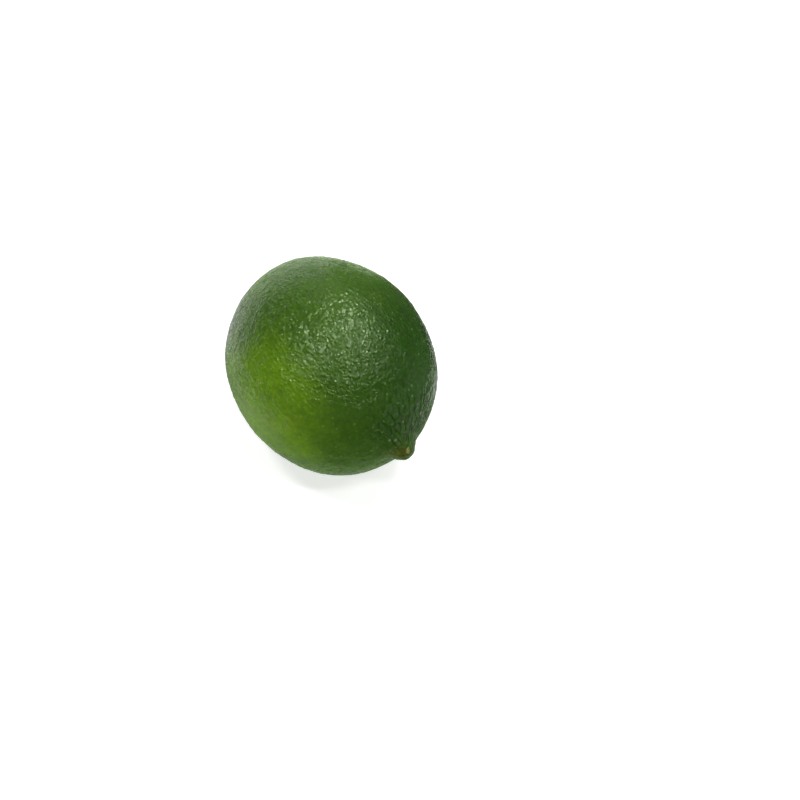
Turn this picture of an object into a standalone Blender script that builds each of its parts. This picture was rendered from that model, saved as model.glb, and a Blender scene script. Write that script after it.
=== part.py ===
"""A whole lime as picked, lying on its side on a small flat spot.

The fruit grew as one piece, so it is one solid. Its long axis lies along X, with the stem end at -X and the
nipple at +X. Z points up, and the origin is on the surface that it rests on, under the middle of its box.
Sizes are in metres.
"""

import math
import random

import bmesh
import bpy
from mathutils import Matrix, Vector, noise

# The oval: half its thickness, and how far it reaches from its widest ring to each end.
EQUATOR_RADIUS = 0.0250
STEM_REACH = 0.0288
TIP_REACH = 0.0284

# Where the shapes at both ends set in, and where they are at their full height, as shares of the reach.
ENDS_START = 0.5
ENDS_FULL = 0.8

# The nipple at the tip: a low dome a little to one side of the axis, with a soft crease round its foot.
NIPPLE_HEIGHT = 0.00285
NIPPLE_RADIUS = 0.0032
NIPPLE_STEEPNESS = 3.2
NIPPLE_SIDE_STEP = Vector((0.0, 0.0033, -0.0024))
CREASE_DEPTH = 0.00015
CREASE_RADIUS = 0.0046
CREASE_WIDTH = 0.0009

# The stem end: a shallow basin with furrows round it, and the five-lobed button that the stem left.
BASIN_DEPTH = 0.0009
BASIN_RADIUS = 0.0060
FURROWS = 9
FURROW_DEPTH = 0.00022
FURROW_INNER_RADIUS = 0.0034
FURROW_OUTER_RADIUS = 0.0105
BUTTON_HEIGHT = 0.0010
BUTTON_RADIUS = 0.0027
BUTTON_EDGE = (0.75, 1.25)
BUTTON_LOBES = 5
BUTTON_LOBING = 0.16
SCAR_DEPTH = 0.0005
SCAR_RADIUS = 0.0010

# The uneven swelling of the whole fruit: a few broad waves in seeded directions.
SWELLING_SEED = 744
SWELLING_WAVES = 7
SWELLING_HEIGHT = 0.00010
SWELLING_PITCH = (4.0, 9.0)

# The pebbled rind, drawn larger than life so that few faces hold it.
PEBBLE_SPACING = 0.0040
PEBBLE_HEIGHT = 0.00036
PEBBLE_REACH = 0.9
PEBBLE_MIDDLE = 0.45

# The small flat spot that it rests on, and how far above it the rind is even again.
REST_DEPTH = 0.0004
CALM_TO = 0.0025
RIM_SNAP = 0.00008

# The mesh: squares along each side of the cube that is rounded out, and how far from both ends it is made
# finer, once and once more.
GRID = 27
FINE_CAPS = (math.radians(15.0), math.radians(8.5))

RIND_GREEN = (0.065, 0.150, 0.022, 1.0)
RIND_ROUGHNESS = 0.36


def smooth_step(low, high, value):
    share = min(max((value - low) / (high - low), 0.0), 1.0)
    return share * share * (3.0 - 2.0 * share)


def swelling_waves():
    """The waves that make the fruit uneven, each as its wave vector and its phase."""
    draw = random.Random(SWELLING_SEED)
    waves = []
    for _ in range(SWELLING_WAVES):
        upward = draw.uniform(-1.0, 1.0)
        turn = draw.uniform(0.0, math.tau)
        across = math.sqrt(1.0 - upward * upward)
        heading = Vector((across * math.cos(turn), across * math.sin(turn), upward))
        waves.append((heading * draw.uniform(*SWELLING_PITCH), draw.uniform(0.0, math.tau)))
    return waves


WAVES = swelling_waves()


def swelling(direction):
    return SWELLING_HEIGHT * sum(math.cos(wave.dot(direction) + phase) for wave, phase in WAVES)


def nipple(point):
    """How far the tip stands out beyond the oval: the nipple, and the crease round its foot."""
    from_axis = (point.yz - NIPPLE_SIDE_STEP.yz).length
    mound = NIPPLE_HEIGHT * math.exp(-((from_axis / NIPPLE_RADIUS) ** NIPPLE_STEEPNESS))
    crease = CREASE_DEPTH * math.exp(-(((from_axis - CREASE_RADIUS) / CREASE_WIDTH) ** 2))
    return mound - crease


def stem_end(point):
    """How far the stem end stands out beyond the oval: basin, furrows, button and the stem's scar."""
    from_axis = point.yz.length
    turn = math.atan2(point.z, point.y)
    basin = BASIN_DEPTH * math.exp(-((from_axis / BASIN_RADIUS) ** 2))
    band = smooth_step(0.0, FURROW_INNER_RADIUS, from_axis)
    band *= 1.0 - smooth_step(FURROW_INNER_RADIUS, FURROW_OUTER_RADIUS, from_axis)
    furrows = FURROW_DEPTH * band * math.cos(FURROWS * turn)
    rim = BUTTON_RADIUS * (1.0 + BUTTON_LOBING * math.cos(BUTTON_LOBES * turn))
    button = BUTTON_HEIGHT * (1.0 - smooth_step(*BUTTON_EDGE, from_axis / rim))
    scar = SCAR_DEPTH * math.exp(-((from_axis / SCAR_RADIUS) ** 2))
    return furrows + button - basin - scar


def pebbles(point):
    """Rounded pebbles with valleys between them, faded out towards both ends."""
    nearest = min(noise.voronoi(point / PEBBLE_SPACING)[0][0], PEBBLE_REACH)
    away_from_ends = smooth_step(CREASE_RADIUS, 2.0 * CREASE_RADIUS, point.yz.length)
    return PEBBLE_HEIGHT * away_from_ends * (PEBBLE_MIDDLE - nearest)


def rind_point(direction):
    """The point of the rind that lies in this direction from the middle of the widest ring."""
    reach = TIP_REACH if direction.x > 0.0 else STEM_REACH
    oval = Vector((reach * direction.x, EQUATOR_RADIUS * direction.y, EQUATOR_RADIUS * direction.z))
    outward = Vector((direction.x / reach, *(direction.yz / EQUATOR_RADIUS))).normalized()
    unevenness = smooth_step(0.0, CALM_TO, oval.z + EQUATOR_RADIUS - REST_DEPTH)
    point = oval + outward * unevenness * (swelling(direction) + pebbles(oval))
    if direction.x > 0.0:
        point.x += nipple(oval) * smooth_step(ENDS_START, ENDS_FULL, direction.x)
    else:
        point.x -= stem_end(oval) * smooth_step(ENDS_START, ENDS_FULL, -direction.x)
    return point


def rounded_grid():
    """A cube with a square grid on each side, blown out to a ball and made finer at both ends."""
    bm = bmesh.new()
    bmesh.ops.create_cube(bm, size=2.0)
    bmesh.ops.subdivide_edges(bm, edges=bm.edges, cuts=GRID - 1, use_grid_fill=True)
    eighth_turn = math.tau / 8.0
    for vert in bm.verts:
        evenly_spread = Vector([math.tan(eighth_turn * x) for x in vert.co])
        vert.co = evenly_spread.normalized()
    for cap in FINE_CAPS:
        ends = [edge for edge in bm.edges if all(abs(v.co.x) > math.cos(cap) for v in edge.verts)]
        bmesh.ops.subdivide_edges(bm, edges=ends, cuts=1, use_grid_fill=True)
        for vert in bm.verts:
            vert.co.normalize()
    return bm


def cut_rest(bm, height):
    """Slices the mesh level at this height, drops what is below and closes it with one flat face."""
    parts = bm.verts[:] + bm.edges[:] + bm.faces[:]
    level = Vector((0.0, 0.0, height))
    upward = Vector((0.0, 0.0, 1.0))
    cut = bmesh.ops.bisect_plane(
        bm, geom=parts, dist=RIM_SNAP, plane_co=level, plane_no=upward, clear_inner=True
    )
    rim = [item for item in cut["geom_cut"] if isinstance(item, bmesh.types.BMEdge)]
    for vert in {v for edge in rim for v in edge.verts}:
        vert.co.z = height
    bmesh.ops.contextual_create(bm, geom=rim)


def make_lime():
    """The closed mesh of the fruit, set with its flat spot at z = 0 and its box's middle over the origin."""
    bm = rounded_grid()
    for vert in bm.verts:
        vert.co = rind_point(vert.co.copy())
    cut_rest(bm, REST_DEPTH - EQUATOR_RADIUS)
    to_middle = [-(min(places) + max(places)) / 2.0 for places in zip(*(vert.co.xy for vert in bm.verts))]
    place = Vector((*to_middle, EQUATOR_RADIUS - REST_DEPTH))
    bmesh.ops.transform(bm, matrix=Matrix.Translation(place), verts=bm.verts)
    bmesh.ops.recalc_face_normals(bm, faces=bm.faces)
    mesh = bpy.data.meshes.new("lime")
    bm.to_mesh(mesh)
    bm.free()
    mesh.shade_smooth()
    lime = bpy.data.objects.new("lime", mesh)
    bpy.context.scene.collection.objects.link(lime)
    return lime


def rind_material():
    material = bpy.data.materials.new("rind")
    material.use_nodes = True
    shader = material.node_tree.nodes["Principled BSDF"]
    shader.inputs["Base Color"].default_value = RIND_GREEN
    shader.inputs["Roughness"].default_value = RIND_ROUGHNESS
    shader.inputs["Metallic"].default_value = 0.0
    return material


for old in list(bpy.data.objects):
    bpy.data.objects.remove(old)

make_lime().data.materials.append(rind_material())
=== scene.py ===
import math
import random

import bmesh
import bpy
from mathutils import Matrix, Vector
from mathutils.bvhtree import BVHTree


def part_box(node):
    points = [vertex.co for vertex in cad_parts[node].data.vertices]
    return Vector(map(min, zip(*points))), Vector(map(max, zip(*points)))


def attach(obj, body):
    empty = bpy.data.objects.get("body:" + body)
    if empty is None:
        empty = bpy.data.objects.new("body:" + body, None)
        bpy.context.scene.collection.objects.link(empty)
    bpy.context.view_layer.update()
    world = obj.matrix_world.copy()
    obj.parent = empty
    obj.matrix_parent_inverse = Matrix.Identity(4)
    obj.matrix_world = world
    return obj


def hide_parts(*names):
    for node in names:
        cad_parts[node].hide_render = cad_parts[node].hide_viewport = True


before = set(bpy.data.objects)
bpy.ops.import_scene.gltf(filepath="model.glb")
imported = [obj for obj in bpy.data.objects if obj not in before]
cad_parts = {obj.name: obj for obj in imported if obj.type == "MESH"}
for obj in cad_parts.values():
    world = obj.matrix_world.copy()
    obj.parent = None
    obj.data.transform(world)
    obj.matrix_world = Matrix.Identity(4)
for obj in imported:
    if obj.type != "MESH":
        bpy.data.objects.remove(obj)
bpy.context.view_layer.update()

# The view
# The camera looks down on the fruit from the side of its nipple. The fruit lies left of the picture's
# middle and a little above it, because the camera and its aim are moved aside, with no shift.
AZIMUTH = math.radians(57.7)
ELEVATION = math.radians(57.5)
towards_camera = Vector((
    math.sin(AZIMUTH) * math.cos(ELEVATION),
    -math.cos(AZIMUTH) * math.cos(ELEVATION),
    math.sin(ELEVATION),
))
picture_right = Vector((math.cos(AZIMUTH), math.sin(AZIMUTH), 0.0))
picture_up = towards_camera.cross(picture_right)


def facing(right, up):
    """The way the rind faces where the picture shows it this far from the fruit's middle, in radii."""
    towards = math.sqrt(1.0 - right * right - up * up)
    return (picture_right * right + picture_up * up + towards_camera * towards).normalized()


# The fruit's body
# One oval that grew as one piece, with a nipple where the flower stood and a puckered basin where it hung.
# It is a cube's grid blown out to a ball, and one formula then places every point of it.
EQUATOR_RADIUS = 0.0250
REST_DEPTH = 0.0004
BUTTON_RADIUS = 0.0027
ENDS_START = 0.5
ENDS_FULL = 0.8
BUTTON_EDGE = (0.6, 1.2)
WRINKLE_LENGTH = 0.0060
WRINKLES_START = (0.0025, 0.0060)
WRINKLES_FADE = 0.0080
STEM_END_REACH = 0.0085
STEM_END_SMOOTHNESS = 0.7
DRAWN_OUT = (0.65, 1.0, 1.0)
GLAND_SPAN = (-0.5, 1.5)
SWELLING_SEED = 744
SWELLING_WAVES = 7
SWELLING_PITCH = (4.0, 9.0)
BODY_SIZES = {
    "Squares": 128,
    "Equator Radius": EQUATOR_RADIUS,
    "Stem Reach": 0.0288,
    "Tip Reach": 0.0284,
    "Swelling Height": 0.00010,
    "Nipple Height": 0.00285,
    "Nipple Radius": 0.0032,
    "Nipple Steepness": 3.2,
    "Nipple Side Step": Vector((0.0, 0.0033, -0.0024)),
    "Shoulder Side Step": Vector((0.0, 0.0010, 0.0008)),
    "Shoulder Radius": 0.0036,
    "Shoulder Height": 0.0013,
    "Crease Depth": 0.00015,
    "Crease Radius": 0.0046,
    "Crease Width": 0.0009,
    "Basin Depth": 0.0009,
    "Basin Radius": 0.0060,
    "Furrows": 9.0,
    "Furrow Depth": 0.00022,
    "Furrow Inner Radius": 0.0034,
    "Furrow Outer Radius": 0.0105,
    "Button Height": 0.0006,
    "Button Radius": BUTTON_RADIUS,
    "Rest Depth": REST_DEPTH,
    "Calm To": 0.0025,
    "Gland Seed": 5,
    "Gland Spacing": 0.00090,
    "Gland Crowding": 2.0e6,
    "Gland Reach": 0.00066,
    "Gland Height": 0.000058,
    "Gland Wander": 0.00055,
    "Wander Size": 0.0013,
    "Dimple Size": 0.0012,
    "Dimple Height": 0.000084,
    "Roll Size": 0.0034,
    "Roll Height": 0.000090,
    "Wrinkles": 10.0,
    "Wrinkle Reach": 0.0200,
    "Wrinkle Height": 0.000120,
}


class Wiring:
    """Adds nodes to one tree and joins them, so that a formula can be written out in order."""

    def __init__(self, tree):
        self.tree = tree

    def feed(self, socket, value):
        if isinstance(value, bpy.types.NodeSocket):
            self.tree.links.new(value, socket)
        else:
            socket.default_value = value

    def add(self, kind, inputs=None, **settings):
        node = self.tree.nodes.new(kind)
        for name, value in settings.items():
            setattr(node, name, value)
        for socket, value in (inputs or {}).items():
            self.feed(node.inputs[socket], value)
        return node

    def math(self, operation, *values):
        return self.add("ShaderNodeMath", dict(enumerate(values)), operation=operation).outputs[0]

    def vector(self, operation, *values):
        node = self.add("ShaderNodeVectorMath", dict(enumerate(values)), operation=operation)
        return node.outputs["Value" if operation in ("DOT_PRODUCT", "LENGTH", "DISTANCE") else "Vector"]

    def scale(self, vector, amount):
        return self.add("ShaderNodeVectorMath", {0: vector, 3: amount}, operation="SCALE").outputs["Vector"]

    def combine(self, x, y, z):
        return self.add("ShaderNodeCombineXYZ", {0: x, 1: y, 2: z}).outputs[0]

    def separate(self, vector):
        return self.add("ShaderNodeSeparateXYZ", {0: vector}).outputs

    def ease(self, low, high, value, start=0.0, end=1.0):
        """Goes smoothly from start to end while value goes from low to high."""
        inputs = {0: value, 1: low, 2: high, 3: start, 4: end}
        return self.add("ShaderNodeMapRange", inputs, interpolation_type="SMOOTHSTEP").outputs[0]

    def bell(self, value, width, steepness=2.0):
        """1 where value is 0, falling to nothing past width."""
        share = self.math("ABSOLUTE", self.math("DIVIDE", value, width))
        return self.math("EXPONENT", self.math("MULTIPLY", self.math("POWER", share, steepness), -1.0))

    def total(self, *values):
        result = values[0]
        for value in values[1:]:
            result = self.math("ADD", result, value)
        return result

    def product(self, *values):
        result = values[0]
        for value in values[1:]:
            result = self.math("MULTIPLY", result, value)
        return result

    def grain(self, place, size, detail=2.0, roughness=0.5, distortion=0.0, output=0):
        """Noise from 0 to 1 whose lumps have this size in metres. Output 1 has three such values in one."""
        pitch = self.math("DIVIDE", 1.0, size)
        inputs = {"Vector": place, "Scale": pitch, "Detail": detail, "Roughness": roughness,
                  "Distortion": distortion}
        return self.add("ShaderNodeTexNoise", inputs).outputs[output]


SOCKET_KINDS = {int: "NodeSocketInt", float: "NodeSocketFloat", Vector: "NodeSocketVector"}


def growing_tree(name, sizes):
    """An empty geometry node tree with a named input for each size and one for the material."""
    tree = bpy.data.node_groups.new(name, "GeometryNodeTree")
    tree.interface.new_socket("Geometry", in_out="OUTPUT", socket_type="NodeSocketGeometry")
    for label, value in sizes.items():
        tree.interface.new_socket(label, in_out="INPUT", socket_type=SOCKET_KINDS[type(value)])
    tree.interface.new_socket("Material", in_out="INPUT", socket_type="NodeSocketMaterial")
    return tree


def grow(tree, sizes, material, name):
    """Runs the tree with these sizes and keeps what it makes as a plain mesh object."""
    holder = bpy.data.objects.new(name + "_seed", bpy.data.meshes.new(name + "_seed"))
    bpy.context.scene.collection.objects.link(holder)
    modifier = holder.modifiers.new("grow", "NODES")
    modifier.node_group = tree
    for item in tree.interface.items_tree:
        if item.in_out == "INPUT":
            value = material if item.name == "Material" else sizes[item.name]
            modifier[item.identifier] = tuple(value) if isinstance(value, Vector) else value
    grown = holder.evaluated_get(bpy.context.evaluated_depsgraph_get())
    mesh = bpy.data.meshes.new_from_object(grown)
    mesh.name = name
    bpy.data.objects.remove(holder)
    piece = bpy.data.objects.new(name, mesh)
    bpy.context.scene.collection.objects.link(piece)
    return piece


def swelling_waves():
    """The broad waves that make the fruit uneven, each as its wave vector and its phase."""
    draw = random.Random(SWELLING_SEED)
    waves = []
    for _ in range(SWELLING_WAVES):
        upward = draw.uniform(-1.0, 1.0)
        turn = draw.uniform(0.0, math.tau)
        across = math.sqrt(1.0 - upward * upward)
        heading = Vector((across * math.cos(turn), across * math.sin(turn), upward))
        waves.append((heading * draw.uniform(*SWELLING_PITCH), draw.uniform(0.0, math.tau)))
    return waves


def lime_body_tree():
    tree = growing_tree("lime body", BODY_SIZES)
    wire = Wiring(tree)
    size = wire.add("NodeGroupInput").outputs
    corners = wire.math("ADD", size["Squares"], 1)
    cube = wire.add("GeometryNodeMeshCube", {
        "Size": (2.0, 2.0, 2.0), "Vertices X": corners, "Vertices Y": corners, "Vertices Z": corners,
    })

    on_cube = wire.scale(wire.add("GeometryNodeInputPosition").outputs[0], math.tau / 8.0)
    direction = wire.vector("NORMALIZE", wire.vector("TANGENT", on_cube))
    ahead = wire.separate(direction)["X"]
    tipward = wire.math("GREATER_THAN", ahead, 0.0)
    stemward = wire.math("SUBTRACT", 1.0, tipward)
    reach = wire.total(wire.product(tipward, size["Tip Reach"]), wire.product(stemward, size["Stem Reach"]))
    radii = wire.combine(reach, size["Equator Radius"], size["Equator Radius"])
    oval = wire.vector("MULTIPLY", direction, radii)
    outward = wire.vector("NORMALIZE", wire.vector("DIVIDE", direction, radii))
    rest_height = wire.math("SUBTRACT", size["Rest Depth"], size["Equator Radius"])
    above_rest = wire.math("SUBTRACT", wire.separate(oval)["Z"], rest_height)
    unevenness = wire.ease(0.0, size["Calm To"], above_rest)

    swelling = wire.total(*(
        wire.math("COSINE", wire.math("ADD", wire.vector("DOT_PRODUCT", direction, wave), phase))
        for wave, phase in swelling_waves()
    ))
    swelling = wire.product(swelling, size["Swelling Height"], unevenness)

    beside_axis = wire.vector("MULTIPLY", oval, (0.0, 1.0, 1.0))
    from_nipple = wire.vector("DISTANCE", beside_axis, size["Nipple Side Step"])
    mound = wire.bell(from_nipple, size["Nipple Radius"], size["Nipple Steepness"])
    crease = wire.bell(wire.math("SUBTRACT", from_nipple, size["Crease Radius"]), size["Crease Width"])
    mound = wire.product(mound, size["Nipple Height"])
    from_shoulder = wire.vector("DISTANCE", beside_axis, size["Shoulder Side Step"])
    shoulder = wire.product(wire.bell(from_shoulder, size["Shoulder Radius"]), size["Shoulder Height"])
    mound = wire.math("ADD", mound, shoulder)
    crease = wire.product(crease, size["Crease Depth"])
    tip = wire.product(wire.math("SUBTRACT", mound, crease), wire.ease(ENDS_START, ENDS_FULL, ahead))

    from_axis = wire.vector("LENGTH", beside_axis)
    across = wire.separate(beside_axis)
    turn = wire.math("ARCTAN2", across["Z"], across["Y"])
    basin = wire.product(wire.bell(from_axis, size["Basin Radius"]), size["Basin Depth"])
    inner_band = wire.ease(0.0, size["Furrow Inner Radius"], from_axis)
    outer_band = wire.ease(size["Furrow Inner Radius"], size["Furrow Outer Radius"], from_axis, 1.0, 0.0)
    waving = wire.math("COSINE", wire.product(turn, size["Furrows"]))
    furrows = wire.product(inner_band, outer_band, waving, size["Furrow Depth"])
    button = wire.ease(*BUTTON_EDGE, wire.math("DIVIDE", from_axis, size["Button Radius"]), 1.0, 0.0)
    button = wire.product(button, size["Button Height"])
    stem_end = wire.math("SUBTRACT", wire.total(furrows, button), basin)
    behind = wire.product(ahead, -1.0)
    stem_end = wire.product(stem_end, wire.ease(ENDS_START, ENDS_FULL, behind))

    # Fine wrinkles run out from the nipple, as noise wound round it.
    round_nipple = wire.vector("NORMALIZE", wire.vector("SUBTRACT", beside_axis, size["Nipple Side Step"]))
    wound = wire.vector("ADD", wire.scale(round_nipple, size["Wrinkles"]),
                        wire.combine(wire.math("DIVIDE", from_nipple, WRINKLE_LENGTH), 0.0, 0.0))
    wrinkles = wire.math("SUBTRACT", wire.grain(wound, 1.0, 1.5), 0.5)
    set_in = wire.ease(*WRINKLES_START, from_nipple)
    faded = wire.ease(WRINKLES_FADE, size["Wrinkle Reach"], from_nipple, 1.0, 0.0)
    wrinkles = wire.product(wrinkles, set_in, faded, tipward)

    place = wire.vector("ADD", oval, wire.scale(outward, swelling))
    place = wire.vector("ADD", place, wire.combine(wire.math("SUBTRACT", tip, stem_end), 0.0, 0.0))

    def stored(shape, name, value):
        inputs = {"Geometry": shape, "Name": name, "Value": value}
        return wire.add("GeometryNodeStoreNamedAttribute", inputs, domain="POINT").outputs[0]

    def kept(name):
        return wire.add("GeometryNodeInputNamedAttribute", {"Name": name}, data_type="FLOAT").outputs[0]

    near_stem = wire.product(stemward, wire.bell(from_axis, STEM_END_REACH))
    shape = stored(cube.outputs["Mesh"], "near_stem", near_stem)
    shape = stored(shape, "wrinkles", wrinkles)
    shape = stored(shape, "unevenness", unevenness)
    shape = wire.add("GeometryNodeSetPosition", {"Geometry": shape, "Position": place}).outputs[0]

    # Oil glands: points scattered evenly over the skin. Each lifts the skin round it by its own amount.
    glands = wire.add("GeometryNodeDistributePointsOnFaces", {
        "Mesh": shape,
        "Distance Min": size["Gland Spacing"],
        "Density Max": size["Gland Crowding"],
        "Seed": size["Gland Seed"],
    }, distribute_method="POISSON").outputs["Points"]
    here = wire.add("GeometryNodeInputPosition").outputs[0]
    astray = wire.vector("SUBTRACT", wire.grain(here, size["Wander Size"], 1.0, output=1), (0.5, 0.5, 0.5))
    felt = wire.vector("ADD", here, wire.scale(astray, size["Gland Wander"]))
    nearest = wire.add("GeometryNodeSampleNearest", {"Geometry": glands, "Sample Position": felt})
    nearest = nearest.outputs[0]
    own_place = wire.add("GeometryNodeInputPosition").outputs[0]
    centre = wire.add("GeometryNodeSampleIndex", {"Geometry": glands, "Index": nearest},
                      data_type="FLOAT_VECTOR")
    wire.feed(centre.inputs["Value"], own_place)
    spread = wire.math("DIVIDE", wire.vector("DISTANCE", felt, centre.outputs[0]), size["Gland Reach"])
    dome = wire.math("MAXIMUM", wire.math("SUBTRACT", 1.0, wire.math("POWER", spread, 2.0)), 0.0)
    draw = {"ID": nearest, "Seed": size["Gland Seed"]}
    chance = wire.add("FunctionNodeRandomValue", draw, data_type="FLOAT").outputs["Value"]
    shape = stored(shape, "gland", dome)
    shape = stored(shape, "gland_chance", chance)
    own_share = wire.ease(0.0, 1.0, kept("gland_chance"), *GLAND_SPAN)
    lift = wire.product(kept("gland"), own_share, size["Gland Height"])

    # Dimples and low rolls, drawn out along the fruit.
    drawn_out = wire.vector("MULTIPLY", here, DRAWN_OUT)
    dimples = wire.math("SUBTRACT", wire.grain(drawn_out, size["Dimple Size"], 1.0), 0.5)
    rolls = wire.math("SUBTRACT", wire.grain(drawn_out, size["Roll Size"], 1.0), 0.5)
    relief = wire.total(
        lift,
        wire.product(dimples, size["Dimple Height"], 2.0),
        wire.product(rolls, size["Roll Height"], 2.0),
        wire.product(kept("wrinkles"), size["Wrinkle Height"], 2.0),
    )
    smoother = wire.math("SUBTRACT", 1.0, wire.product(kept("near_stem"), STEM_END_SMOOTHNESS))
    relief = wire.product(relief, kept("unevenness"), smoother)
    along_normal = wire.scale(wire.add("GeometryNodeInputNormal").outputs[0], relief)
    shape = wire.add("GeometryNodeSetPosition", {"Geometry": shape, "Offset": along_normal}).outputs[0]

    # The flat spot: nothing reaches below the surface that the fruit rests on.
    settled = wire.separate(wire.add("GeometryNodeInputPosition").outputs[0])
    settled = wire.combine(settled["X"], settled["Y"], wire.math("MAXIMUM", settled["Z"], rest_height))
    shape = wire.add("GeometryNodeSetPosition", {"Geometry": shape, "Position": settled}).outputs[0]

    shape = wire.add("GeometryNodeSetShadeSmooth", {"Geometry": shape}).outputs[0]
    shape = wire.add("GeometryNodeRealizeInstances", {"Geometry": shape}).outputs[0]
    finish = wire.add("GeometryNodeSetMaterial", {"Geometry": shape, "Material": size["Material"]})
    wire.add("NodeGroupOutput", {"Geometry": finish.outputs[0]})
    return tree


# Its rind is a waxy skin over oil glands: deep green, yellower on one side, where it is partly its own paler
# patch and partly painted light from the white table, and darker and cooler on the other side, which is
# painted shade. Some glands are pale flecks, and there are two faint bruises. A share is how far a colour
# covers what is under it.
DEEP_GREEN = (0.050, 0.121, 0.008, 1.0)
# The yellow green is partly the rind's own paler patch and partly painted light from the white table.
YELLOW_AND_LIT_GREEN = (0.160, 0.310, 0.006, 1.0)
PALE_AND_LIT_SIDE = facing(-0.70, -0.40)
PALE_AND_LIT_RANGE = (0.55, 1.15)
PALE_AND_LIT_WANDER = 0.5
# The cool green on the dark side is painted shade.
SHADED_GREEN = (0.014, 0.057, 0.003, 1.0)
SHADED_SIDE = facing(0.90, 0.00)
SHADE_RANGE = (0.35, 1.00)
SHADE_WANDER = 0.4
PATCH_SIZE = 0.012
MOTTLE_SIZE = 0.0030
MOTTLE_CONTRAST = (0.30, 0.70)
MOTTLE_RANGE = (0.93, 1.07)
GLAND_GLOW = (0.93, 1.06)
FLECK_GREEN = (0.210, 0.320, 0.100, 1.0)
FLECK_CHANCE = (0.82, 0.98)
FLECK_EDGE = (0.55, 0.95)
FLECK_SHARE = 0.27
BRUISE_BROWN = (0.150, 0.110, 0.020, 1.0)
BRUISES = (facing(-0.33, -0.54), facing(-0.58, -0.51))
BRUISE_REACH = 0.075
BRUISE_SHARE = 0.30
BLOT_SIZE = 0.0012
BLOT_CONTRAST = (0.35, 0.65)
STEM_GREEN = (0.125, 0.190, 0.035, 1.0)
STEM_SHARE = 0.7

# The marks on and beside the nipple: an olive tinge, a brown smear by the scar and two painted highlights,
# small pale streaks where the wax would shine. Each has its colour, its place beside the axis, its reach and
# share, how far its edge strays, and over what size.
NIPPLE_OLIVE = (0.095, 0.105, 0.014, 1.0)
SCAR_BROWN = (0.105, 0.068, 0.012, 1.0)
PAINTED_HIGHLIGHT_GREEN = (0.300, 0.380, 0.200, 1.0)
NIPPLE_MARKS = (
    (NIPPLE_OLIVE, Vector((0.0, 0.0003, -0.0006)), 0.0022, 0.65, 0.0020, 0.0012),
    (SCAR_BROWN, Vector((0.0, 0.0019, 0.0002)), 0.0008, 0.50, 0.0008, 0.0006),
    # The last two marks are painted highlights, pale streaks where the wax would shine.
    (PAINTED_HIGHLIGHT_GREEN, Vector((0.0, 0.0008, 0.0038)), 0.00032, 0.4, 0.0005, 0.0005),
    (PAINTED_HIGHLIGHT_GREEN, Vector((0.0, -0.0007, 0.0043)), 0.00032, 0.4, 0.0005, 0.0005),
)

# The relief that is finer than the mesh: pebbles over the glands, pores, soft ripples, winding grooves in
# patches, one short ridge beside the nipple, and a net of creases round its foot, deeper on one side.
ASTRAY_SIZE = 0.0016
PEBBLE_SPACING = 0.00077
PEBBLE_STRETCH = (0.80, 1.0, 1.0)
PEBBLE_STRAYING = 0.0005
PEBBLE_MERGING = 0.20
PEBBLE_WIDTH = 0.42
PEBBLE_HEIGHT = 0.000155
PORE_SIZE = 0.00042
PORE_HEIGHT = 0.000062
RIPPLE_SIZE = 0.0024
RIPPLE_HEIGHT = 0.000260
GROOVE_PITCH = 0.0032
GROOVE_WIDTH = 0.022
GROOVE_DEPTH = 0.000130
GROOVED_PATCH = 0.0055
GROOVED_EDGE = (0.50, 0.60)
RIDGE_TOP = Vector((0.0, 0.0047, 0.0017))
RIDGE_FOOT = Vector((0.0, 0.0040, 0.0001))
RIDGE_WIDTH = 0.00022
RIDGE_HEIGHT = 0.00026
CREASES_ROUND = 7.5
CREASE_LENGTH = 0.0030
CREASE_STRAYING = 0.9
CREASE_PITCH = 0.75
CREASE_WIDTH = 0.15
CREASE_HEIGHT = 0.00036
CREASES_START = (0.0008, 0.0046)
CREASES_END = (0.0110, 0.0200)
CREASED_SIDE = Vector((0.0, 0.60, 0.80))
CREASED_EDGE = (-0.7, 0.5)
LEAST_CREASED = 0.3
LEAST_PEBBLED = 0.45

# Its wax, glossier on the pebbles, and how deep light goes into the skin below it, in red, green and blue.
GLOSS_PATCH = 0.0014
PATCH_DULLNESS = 0.7
VALLEY_DULLNESS = 0.4
DULLNESS_RANGE = (0.35, 0.80)
ROUGHNESS_RANGE = (0.10, 0.26)
WAX_IOR = 1.50
WAX_TINT = (0.80, 1.00, 0.62, 1.0)
SKIN_DEPTH = 0.0016
SKIN_DEPTH_SHARES = (0.8, 1.0, 0.3)


def mixed(wire, share, first, second, blend="MIX"):
    """Goes from the first colour to the second as share goes from 0 to 1."""
    inputs = {0: share, 6: first, 7: second}
    return wire.add("ShaderNodeMix", inputs, data_type="RGBA", blend_type=blend).outputs[2]


def new_material(name):
    """A material with its wiring and its shader."""
    material = bpy.data.materials.new(name)
    material.use_nodes = True
    return material, Wiring(material.node_tree), material.node_tree.nodes["Principled BSDF"]


def place_on_piece(wire):
    """The place on the piece, in metres."""
    return wire.add("ShaderNodeTexCoord").outputs["Object"]


def unevenly(wire, place, value, size, amount):
    """The value, made to wander by so much over patches of this size."""
    wander = wire.math("SUBTRACT", wire.grain(place, size, 3.0), 0.5)
    return wire.total(value, wire.product(wander, amount))


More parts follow.
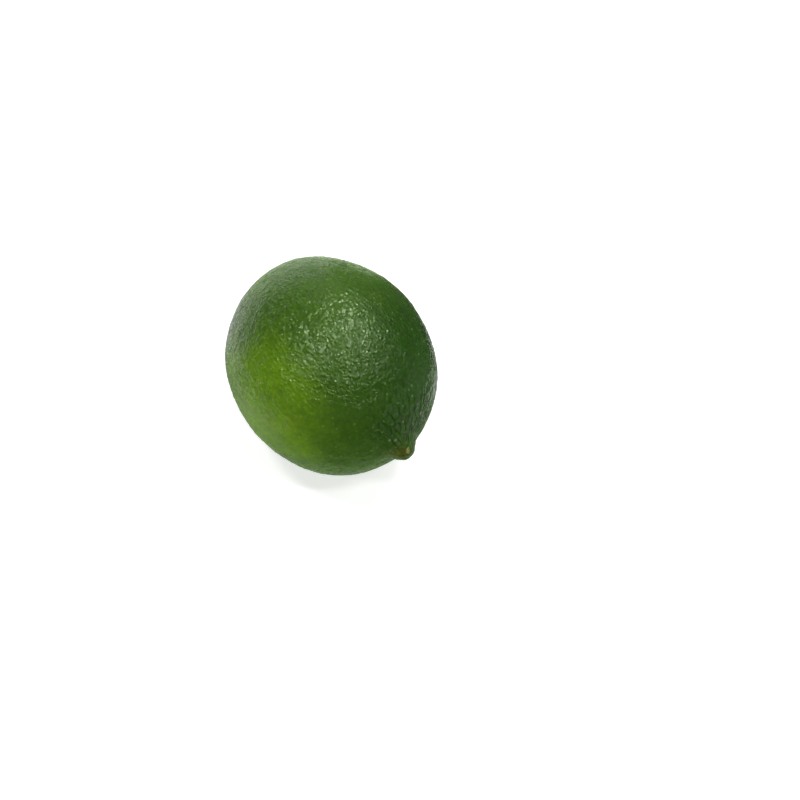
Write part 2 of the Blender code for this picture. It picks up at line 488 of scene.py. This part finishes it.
def rind_colour(wire, place, direction, beside_axis, tipward):
    def mask(name):
        return wire.add("ShaderNodeAttribute", attribute_name=name).outputs["Fac"]

    # Partly the rind's own paler patch and partly painted light: yellower on one side.
    paleness_and_painted_light = wire.vector("DOT_PRODUCT", direction, PALE_AND_LIT_SIDE)
    paleness_and_painted_light = unevenly(wire, place, paleness_and_painted_light, PATCH_SIZE, PALE_AND_LIT_WANDER)
    # Painted shade: darker and cooler on the other side.
    painted_shade = wire.vector("DOT_PRODUCT", direction, SHADED_SIDE)
    painted_shade = unevenly(wire, place, painted_shade, PATCH_SIZE, SHADE_WANDER)
    colour = mixed(wire, wire.ease(*PALE_AND_LIT_RANGE, paleness_and_painted_light), DEEP_GREEN, YELLOW_AND_LIT_GREEN)
    colour = mixed(wire, wire.ease(*SHADE_RANGE, painted_shade), colour, SHADED_GREEN)
    mottle = wire.ease(*MOTTLE_CONTRAST, wire.grain(place, MOTTLE_SIZE, 4.0, 0.6), *MOTTLE_RANGE)
    glow = wire.ease(0.0, 1.0, mask("gland"), *GLAND_GLOW)
    colour = mixed(wire, 1.0, colour, wire.combine(*[wire.product(mottle, glow)] * 3), "MULTIPLY")
    flecked = wire.ease(*FLECK_CHANCE, mask("gland_chance"))
    fleck = wire.product(flecked, wire.ease(*FLECK_EDGE, mask("gland")))
    colour = mixed(wire, wire.product(fleck, FLECK_SHARE), colour, FLECK_GREEN)
    for bruise in BRUISES:
        apart = wire.vector("DISTANCE", direction, bruise)
        blots = wire.ease(*BLOT_CONTRAST, wire.grain(place, BLOT_SIZE, 3.0))
        blot = wire.product(wire.bell(apart, BRUISE_REACH), blots)
        colour = mixed(wire, wire.product(blot, BRUISE_SHARE), colour, BRUISE_BROWN)
    # Two of these marks are painted highlights.
    for tint, middle, reach, share, wander, size in NIPPLE_MARKS:
        from_mark = unevenly(wire, place, wire.vector("DISTANCE", beside_axis, middle), size, wander)
        marked = wire.product(tipward, wire.bell(from_mark, reach))
        colour = mixed(wire, wire.product(marked, share), colour, tint)
    return mixed(wire, wire.product(mask("near_stem"), STEM_SHARE), colour, STEM_GREEN)


def rind_relief(wire, place, beside_axis, tipward):
    """The fine relief as a height in metres, and how far each place is from its pebble's middle."""
    astray = wire.vector("SUBTRACT", wire.grain(place, ASTRAY_SIZE, 1.0, output=1), (0.5, 0.5, 0.5))
    felt = wire.vector("MULTIPLY", place, PEBBLE_STRETCH)
    felt = wire.vector("ADD", felt, wire.scale(astray, PEBBLE_STRAYING))
    pebbles = {"Vector": felt, "Scale": 1.0 / PEBBLE_SPACING, "Smoothness": PEBBLE_MERGING}
    off_pebble = wire.add("ShaderNodeTexVoronoi", pebbles, feature="SMOOTH_F1").outputs["Distance"]
    pores = wire.grain(place, PORE_SIZE, 2.0, 0.5)
    ripples = wire.grain(place, RIPPLE_SIZE, 1.5, 0.5)

    winding = wire.math("ABSOLUTE", wire.math("SUBTRACT", wire.grain(place, GROOVE_PITCH, 2.0), 0.5))
    grooved = wire.ease(*GROOVED_EDGE, wire.grain(place, GROOVED_PATCH, 1.0))
    grooves = wire.product(wire.bell(winding, GROOVE_WIDTH), grooved)

    ridge_run = RIDGE_TOP - RIDGE_FOOT
    from_foot = wire.vector("SUBTRACT", beside_axis, RIDGE_FOOT)
    along_ridge = wire.vector("DOT_PRODUCT", from_foot, ridge_run / ridge_run.length_squared)
    along_ridge = wire.math("MINIMUM", wire.math("MAXIMUM", along_ridge, 0.0), 1.0)
    from_ridge = wire.vector("DISTANCE", from_foot, wire.scale(ridge_run, along_ridge))
    ridge = wire.product(wire.bell(from_ridge, RIDGE_WIDTH), tipward)

    from_nipple = wire.vector("SUBTRACT", beside_axis, BODY_SIZES["Nipple Side Step"])
    off_nipple = wire.vector("LENGTH", from_nipple)
    round_nipple = wire.vector("NORMALIZE", from_nipple)
    lengthwise = wire.combine(wire.math("DIVIDE", off_nipple, CREASE_LENGTH), 0.0, 0.0)
    wound = wire.vector("ADD", wire.scale(round_nipple, CREASES_ROUND), lengthwise)
    wound = wire.vector("ADD", wound, wire.scale(astray, CREASE_STRAYING))
    meshes = {"Vector": wound, "Scale": CREASE_PITCH}
    off_crease = wire.add("ShaderNodeTexVoronoi", meshes, feature="DISTANCE_TO_EDGE").outputs["Distance"]
    set_in = wire.ease(*CREASES_START, off_nipple)
    creased = wire.product(set_in, wire.ease(*CREASES_END, off_nipple, 1.0, 0.0))
    sideways = wire.vector("DOT_PRODUCT", round_nipple, CREASED_SIDE)
    creased = wire.product(creased, wire.ease(*CREASED_EDGE, sideways, LEAST_CREASED, 1.0))
    creases = wire.product(wire.bell(off_crease, CREASE_WIDTH), creased, tipward)
    pebbled = wire.ease(0.0, 1.0, wire.product(creased, tipward), 1.0, LEAST_PEBBLED)

    relief = wire.total(
        wire.product(wire.bell(off_pebble, PEBBLE_WIDTH), pebbled, PEBBLE_HEIGHT),
        wire.product(pores, PORE_HEIGHT),
        wire.product(ripples, RIPPLE_HEIGHT),
        wire.product(grooves, -GROOVE_DEPTH),
        wire.product(ridge, RIDGE_HEIGHT),
        wire.product(creases, CREASE_HEIGHT),
    )
    return relief, off_pebble


def rind_material(heart):
    material, wire, shader = new_material("rind")
    place = place_on_piece(wire)
    centred = wire.add("ShaderNodeMapping", {"Vector": place, "Location": -heart}).outputs[0]
    direction = wire.vector("NORMALIZE", centred)
    beside_axis = wire.vector("MULTIPLY", centred, (0.0, 1.0, 1.0))
    tipward = wire.math("GREATER_THAN", wire.separate(centred)["X"], 0.0)
    colour = rind_colour(wire, place, direction, beside_axis, tipward)
    relief, off_pebble = rind_relief(wire, place, beside_axis, tipward)
    dull_patches = wire.product(wire.grain(place, GLOSS_PATCH, 3.0, 0.6), PATCH_DULLNESS)
    dullness = wire.total(dull_patches, wire.product(off_pebble, VALLEY_DULLNESS))
    bump = wire.add("ShaderNodeBump", {"Height": relief, "Strength": 1.0, "Distance": 1.0})
    wire.feed(shader.inputs["Base Color"], colour)
    wire.feed(shader.inputs["Roughness"], wire.ease(*DULLNESS_RANGE, dullness, *ROUGHNESS_RANGE))
    wire.feed(shader.inputs["Normal"], bump.outputs[0])
    shader.inputs["IOR"].default_value = WAX_IOR
    shader.inputs["Specular Tint"].default_value = WAX_TINT
    shader.inputs["Subsurface Weight"].default_value = 1.0
    shader.inputs["Subsurface Radius"].default_value = SKIN_DEPTH_SHARES
    shader.inputs["Subsurface Scale"].default_value = SKIN_DEPTH
    return material


# The frame's box is centred on the whole fruit, so the middle of its widest ring lies a little behind that.
RING_BEHIND_MIDDLE = 0.00075
frame_low, frame_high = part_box("lime")
heart = (frame_low + frame_high) / 2.0 - Vector((RING_BEHIND_MIDDLE, 0.0, 0.0))
heart.z = frame_low.z + EQUATOR_RADIUS - REST_DEPTH

rind = grow(lime_body_tree(), BODY_SIZES, rind_material(heart), "lime_rind")
rind.data.transform(Matrix.Translation(heart))
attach(rind, "root")
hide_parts("lime")

# The scar of the style
# A crumb of cork at the tip of the nipple, where the flower's style broke off. It is dead tissue, tan and
# pitted, and it dried hard onto the rind as a thin crust.
STYLE_SCAR = Vector((0.0, 0.0029, 0.0001))
SCAR_RADIUS = 0.00058
SCAR_RISE = 0.00016
SCAR_EDGE_SUNK = 0.00002
SCAR_WAVES = ((2, 0.16, 0.6), (5, 0.10, 0.0))
SCAR_BUMPS = 0.25
SCAR_TAN = (0.235, 0.265, 0.062, 1.0)
SCAR_DARK = (0.115, 0.090, 0.022, 1.0)
CORK_PIT_SIZE = 0.35
CORK_PIT_SHARE = 0.3
CORK_CONTRAST = (0.35, 0.62)
CORK_SMOOTHER_TOPS = 0.1
CAST_FROM = 0.05
rind_surface = BVHTree.FromObject(rind, bpy.context.evaluated_depsgraph_get())


def dried_crust(name, foot, outward, outline, profile, sunk, rings, spokes):
    """A closed crust that follows the rind round the foot. outline(turn) is its reach and
    profile(share, turn) its rise, both in metres, with share 0 in the middle and 1 at the edge."""
    across = outward.orthogonal().normalized()
    along = outward.cross(across)

    def on_rind(offset):
        start = heart + foot + offset + outward * CAST_FROM
        return rind_surface.ray_cast(start, -outward)[0]

    bm = bmesh.new()
    middle = bm.verts.new(on_rind(Vector()) + outward * profile(0.0, 0.0))
    loops = []
    for ring in range(1, rings + 1):
        share = ring / rings
        loop = []
        for spoke in range(spokes):
            turn = math.tau * spoke / spokes
            offset = (across * math.cos(turn) + along * math.sin(turn)) * outline(turn) * share
            loop.append(bm.verts.new(on_rind(offset) + outward * profile(share, turn)))
        loops.append(loop)
    loops.append([bm.verts.new(vert.co - outward * sunk) for vert in loops[-1]])
    bottom = bm.verts.new(sum((vert.co for vert in loops[-1]), Vector()) / spokes)
    for spoke in range(spokes):
        after = (spoke + 1) % spokes
        bm.faces.new((middle, loops[0][spoke], loops[0][after]))
        for inner, outer in zip(loops, loops[1:]):
            bm.faces.new((inner[spoke], outer[spoke], outer[after], inner[after]))
        bm.faces.new((loops[-1][after], loops[-1][spoke], bottom))
    bmesh.ops.recalc_face_normals(bm, faces=bm.faces)
    mesh = bpy.data.meshes.new(name)
    bm.to_mesh(mesh)
    bm.free()
    mesh.shade_smooth()
    crust = bpy.data.objects.new(name, mesh)
    bpy.context.scene.collection.objects.link(crust)
    return crust


def cork_group():
    """Dry cork: dark cracks and pits in a lighter grain. It puts out a colour share and a height."""
    group = bpy.data.node_groups.new("dry cork", "ShaderNodeTree")
    for label, kind in (("Place", "NodeSocketVector"), ("Grain Size", "NodeSocketFloat")):
        group.interface.new_socket(label, in_out="INPUT", socket_type=kind)
    for label in ("Lightness", "Height"):
        group.interface.new_socket(label, in_out="OUTPUT", socket_type="NodeSocketFloat")
    wire = Wiring(group)
    size = wire.add("NodeGroupInput").outputs
    grain = wire.grain(size["Place"], size["Grain Size"], 4.0, 0.65, 0.6)
    pits = wire.grain(size["Place"], wire.product(size["Grain Size"], CORK_PIT_SIZE), 2.0, 0.6)
    height = wire.total(wire.product(grain, 1.0 - CORK_PIT_SHARE), wire.product(pits, CORK_PIT_SHARE))
    wire.add("NodeGroupOutput", {"Lightness": wire.ease(*CORK_CONTRAST, height), "Height": height})
    return group


CORK = cork_group()


def cork_material(name, light, dark, grain_size, roughness, rise):
    """A dry crust's material. Its roughness is that of its tops, and rise is its grain's depth in metres."""
    material, wire, shader = new_material(name)
    cork = wire.add("ShaderNodeGroup", node_tree=CORK)
    wire.feed(cork.inputs["Place"], place_on_piece(wire))
    cork.inputs["Grain Size"].default_value = grain_size
    wire.feed(shader.inputs["Base Color"], mixed(wire, cork.outputs["Lightness"], dark, light))
    bump = wire.add("ShaderNodeBump", {"Height": cork.outputs["Height"], "Strength": 1.0, "Distance": rise})
    wire.feed(shader.inputs["Normal"], bump.outputs[0])
    rough = wire.ease(0.0, 1.0, cork.outputs["Height"], roughness + CORK_SMOOTHER_TOPS, roughness)
    wire.feed(shader.inputs["Roughness"], rough)
    return material


def sway(turn, waves):
    """How an uneven edge sways there. Each wave has its number round the edge, its height and its phase."""
    return sum(height * math.cos(number * turn + phase) for number, height, phase in waves)


def scar_outline(turn):
    return SCAR_RADIUS * (1.0 + sway(turn, SCAR_WAVES))


def scar_profile(share, turn):
    bumps = SCAR_BUMPS * math.cos(3.0 * turn) * share
    return SCAR_RISE * (1.0 - share ** 3) * (1.0 + bumps) - SCAR_EDGE_SUNK


TIPWARD = Vector((1.0, 0.0, 0.0))
style_scar = dried_crust("style_scar", STYLE_SCAR, TIPWARD, scar_outline, scar_profile,
                         sunk=0.0002, rings=8, spokes=40)
style_cork = cork_material("style_cork", SCAR_TAN, SCAR_DARK,
                           grain_size=0.00050, roughness=0.75, rise=0.00008)
style_scar.data.materials.append(style_cork)
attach(style_scar, "root")

# The button at the stem end
# The dried calyx that stayed on the fruit when its stem broke off: a thin, five-lobed plate of woody tissue
# with fine ribs. It grew out of the rind in the middle of the stem's basin.
BUTTON_LOBES = 5
BUTTON_LOBING = 0.16
BUTTON_RISE = 0.00045
BUTTON_RIBS = 15
BUTTON_RIB_HEIGHT = 0.00005
SOCKET_RADIUS = 0.0011
SOCKET_DEPTH = 0.00050
BUTTON_LIGHT = (0.200, 0.190, 0.075, 1.0)
BUTTON_DARK = (0.060, 0.060, 0.022, 1.0)
RAGGED_SEED = 31
RAGGED_WAVES = (3, 7, 11, 17)
RAGGED_HEIGHT = (0.01, 0.04)
STEMWARD = Vector((-1.0, 0.0, 0.0))
edge_draw = random.Random(RAGGED_SEED)
BUTTON_WAVES = [(BUTTON_LOBES, BUTTON_LOBING, 0.0)]
for number in RAGGED_WAVES:
    BUTTON_WAVES.append((number, edge_draw.uniform(*RAGGED_HEIGHT), edge_draw.uniform(0.0, math.tau)))


def button_outline(turn):
    return BUTTON_RADIUS * (1.0 + sway(turn, BUTTON_WAVES))


def button_profile(share, turn):
    plate = BUTTON_RISE * (1.0 - share ** 4)
    ribs = BUTTON_RIB_HEIGHT * math.cos(BUTTON_RIBS * turn) * math.sin(math.pi * share)
    socket = SOCKET_DEPTH * math.exp(-((share * BUTTON_RADIUS / SOCKET_RADIUS) ** 4))
    return plate + ribs - socket


stem_button = dried_crust("stem_button", Vector(), STEMWARD, button_outline, button_profile,
                          sunk=0.0004, rings=22, spokes=120)
button_wood = cork_material("button_wood", BUTTON_LIGHT, BUTTON_DARK,
                            grain_size=0.00070, roughness=0.60, rise=0.00010)
stem_button.data.materials.append(button_wood)
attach(stem_button, "root")

# The stem's stub
# What is left of the stem in the middle of the button: a short peg of wood, paler than its bark. It broke
# off level with the button, so its top is rough and a little slanted.
STUB_RADIUS = 0.00085
STUB_RISE = 0.00045
STUB_WAVES = ((3, 0.05, 0.0), (8, 0.03, 1.0))
STUB_FOOT = 0.4 * BUTTON_RISE - SOCKET_DEPTH
STUB_ROUNDING = 0.6
STUB_RIM = 0.00008
STUB_RIM_AT = 0.80
STUB_RIM_WIDTH = 0.12
STUB_SLANT = 0.00006
STUB_SPLINTERS = 0.00002
STUB_TAN = (0.480, 0.380, 0.200, 1.0)
STUB_DARK = (0.200, 0.140, 0.060, 1.0)


def stub_outline(turn):
    return STUB_RADIUS * (1.0 + sway(turn, STUB_WAVES))


def stub_profile(share, turn):
    peg = STUB_RISE * (1.0 - STUB_ROUNDING * share ** 10)
    rim = STUB_RIM * math.exp(-(((share - STUB_RIM_AT) / STUB_RIM_WIDTH) ** 2))
    broken = (STUB_SLANT * math.cos(turn + 0.5) + STUB_SPLINTERS * math.cos(9.0 * turn)) * share
    return STUB_FOOT + peg + rim + broken


stem_stub = dried_crust("stem_stub", Vector(), STEMWARD, stub_outline, stub_profile,
                        sunk=0.0006, rings=12, spokes=60)
stub_wood = cork_material("stub_wood", STUB_TAN, STUB_DARK,
                          grain_size=0.00035, roughness=0.70, rise=0.00010)
stem_stub.data.materials.append(stub_wood)
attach(stem_stub, "root")

# The floor, the lamps and the camera
# A white table under soft boxes, in a room that looks white but lights the fruit little. Cards stand round
# the fruit and show only in its reflections.
FLOOR_HALF = 1.5
FLOOR_WHITE = (0.80, 0.80, 0.80, 1.0)
FLOOR_ROUGHNESS = 0.6
FLOOR_GLOW = 0.66
ROOM_LOOK = 0.95
ROOM_LIGHT = 0.06
FOCAL_PIXELS = 3240.0
PICTURE_PIXELS = 800.0
LIME_PIXEL = (331.3, 366.2)
CAMERA_DISTANCE = 0.80
SENSOR_WIDTH = 36.0
CARD_TINT = (0.82, 1.00, 0.70, 1.0)
FOOT_CARD_HEIGHT = 0.0003
FOOT_CORNERS = ((-0.040, -0.040), (0.045, -0.040), (0.045, 0.030), (-0.040, 0.030))


def make_floor():
    """A white table that glows a little, so that it stays white, but not in the rind's reflections."""
    bm = bmesh.new()
    bmesh.ops.create_grid(bm, x_segments=1, y_segments=1, size=FLOOR_HALF)
    mesh = bpy.data.meshes.new("floor")
    bm.to_mesh(mesh)
    bm.free()
    floor = bpy.data.objects.new("floor", mesh)
    bpy.context.scene.collection.objects.link(floor)
    material, wire, shader = new_material("floor_paint")
    shader.inputs["Base Color"].default_value = FLOOR_WHITE
    shader.inputs["Roughness"].default_value = FLOOR_ROUGHNESS
    shader.inputs["Emission Color"].default_value = (1.0, 1.0, 1.0, 1.0)
    mirrored_share = wire.add("ShaderNodeLightPath").outputs["Is Glossy Ray"]
    wire.feed(shader.inputs["Emission Strength"], wire.ease(0.0, 1.0, mirrored_share, FLOOR_GLOW, 0.0))
    mesh.materials.append(material)
    return floor


def standing(heading, distance, half_width, height):
    """The corners of a card that stands on the floor at that distance from the fruit's middle."""
    level = Vector(heading).normalized()
    along = Vector((-level.y, level.x, 0.0))
    foot = Vector((heart.x, heart.y, 0.0)) + level * distance
    rise = Vector((0.0, 0.0, height))
    near, far = foot - along * half_width, foot + along * half_width
    return [near, far, far + rise, near + rise]


def card(name, corners, grey):
    """A card that shows only in reflections. A dark one keeps the rind deep green there, and a light one
    makes its wax shine."""
    mesh = bpy.data.meshes.new(name)
    mesh.from_pydata([tuple(corner) for corner in corners], [], [(0, 1, 2, 3)])
    screen = bpy.data.objects.new(name, mesh)
    bpy.context.scene.collection.objects.link(screen)
    material, _, shader = new_material(name + "_paper")
    shader.inputs["Base Color"].default_value = (0.0, 0.0, 0.0, 1.0)
    shader.inputs["Specular IOR Level"].default_value = 0.0
    shader.inputs["Emission Color"].default_value = CARD_TINT
    shader.inputs["Emission Strength"].default_value = grey
    mesh.materials.append(material)
    screen.visible_camera = False
    screen.visible_diffuse = False
    screen.visible_shadow = False


def soft_box(name, direction, distance, width, height, turn, brightness):
    """A rectangular lamp that faces the fruit from that direction, turned by so many degrees."""
    lamp = bpy.data.lights.new(name, "AREA")
    lamp.shape = "RECTANGLE"
    lamp.size = width
    lamp.size_y = height
    lamp.energy = brightness * math.pi * width * height
    holder = bpy.data.objects.new(name, lamp)
    right = (picture_right - direction * direction.dot(picture_right)).normalized()
    up = direction.cross(right)
    turned = Matrix((right, up, direction)).transposed() @ Matrix.Rotation(math.radians(turn), 3, "Z")
    holder.matrix_world = Matrix.Translation(heart + direction * distance) @ turned.to_4x4()
    bpy.context.scene.collection.objects.link(holder)


def mirrored(right, up):
    """Where a lamp must be for its reflection to show at that place on the fruit, in radii."""
    normal = facing(right, up)
    return (normal * (2.0 * normal.dot(towards_camera)) - towards_camera).normalized()


make_floor()

# Each standing card: its heading from the fruit, distance, half width and height, and its grey.
card("side_card", standing((-0.25, 1.0, 0.0), 0.048, 0.042, 0.060), 0.10)
card("corner_card", standing((0.62, 0.78, 0.0), 0.050, 0.026, 0.030), 0.42)
card("front_card", standing((0.845, -0.535, 0.0), 0.036, 0.034, 0.035), 0.11)
card("low_card", standing((-0.10, -1.0, 0.0), 0.110, 0.090, 0.060), 0.10)
card("back_card", standing((-0.845, 0.535, 0.0), 0.050, 0.045, 0.028), 1.00)
card("foot_card", [heart + Vector((x, y, FOOT_CARD_HEIGHT - heart.z)) for x, y in FOOT_CORNERS], 0.40)

# Each lamp: where its reflection shows, its distance, width, height, turn and brightness.
soft_box("far_lamp", mirrored(0.19, 0.43), 1.0, 0.12, 0.42, 36.0, 33.0)
soft_box("left_lamp", mirrored(-0.18, 0.24), 1.0, 0.17, 0.11, 5.0, 47.0)
soft_box("front_lamp", mirrored(0.14, 0.11), 1.0, 0.42, 0.07, -6.0, 23.0)
soft_box("right_lamp", mirrored(0.42, 0.24), 1.0, 0.12, 0.40, 0.0, 7.0)
soft_box("low_lamp", mirrored(-0.32, 0.03), 1.0, 0.30, 0.16, 0.0, 7.0)
soft_box("back_glow", mirrored(0.05, 0.76), 1.2, 1.80, 1.30, 0.0, 0.46)
soft_box("side_glow", mirrored(0.60, 0.48), 1.2, 0.80, 1.20, 0.0, 0.42)

world = bpy.data.worlds.new("studio")
world.use_nodes = True
backdrop = world.node_tree.nodes["Background"]
backdrop.inputs["Color"].default_value = (1.0, 1.0, 1.0, 1.0)
world_wire = Wiring(world.node_tree)
seen_directly = world_wire.add("ShaderNodeLightPath").outputs["Is Camera Ray"]
world_wire.feed(backdrop.inputs["Strength"], world_wire.ease(0.0, 1.0, seen_directly, ROOM_LIGHT, ROOM_LOOK))
bpy.context.scene.world = world
bpy.context.scene.view_settings.view_transform = "Standard"

lens = bpy.data.cameras.new("camera")
lens.sensor_width = SENSOR_WIDTH
lens.lens = FOCAL_PIXELS / PICTURE_PIXELS * SENSOR_WIDTH
lens.clip_start = 0.01
camera = bpy.data.objects.new("camera", lens)
metres_per_pixel = CAMERA_DISTANCE / FOCAL_PIXELS
aside = (PICTURE_PIXELS / 2.0 - LIME_PIXEL[0]) * metres_per_pixel
above = (LIME_PIXEL[1] - PICTURE_PIXELS / 2.0) * metres_per_pixel
aim = heart + picture_right * aside + picture_up * above
camera.location = aim + towards_camera * CAMERA_DISTANCE
camera.rotation_euler = towards_camera.to_track_quat("Z", "Y").to_euler()
bpy.context.scene.collection.objects.link(camera)
bpy.context.scene.camera = camera
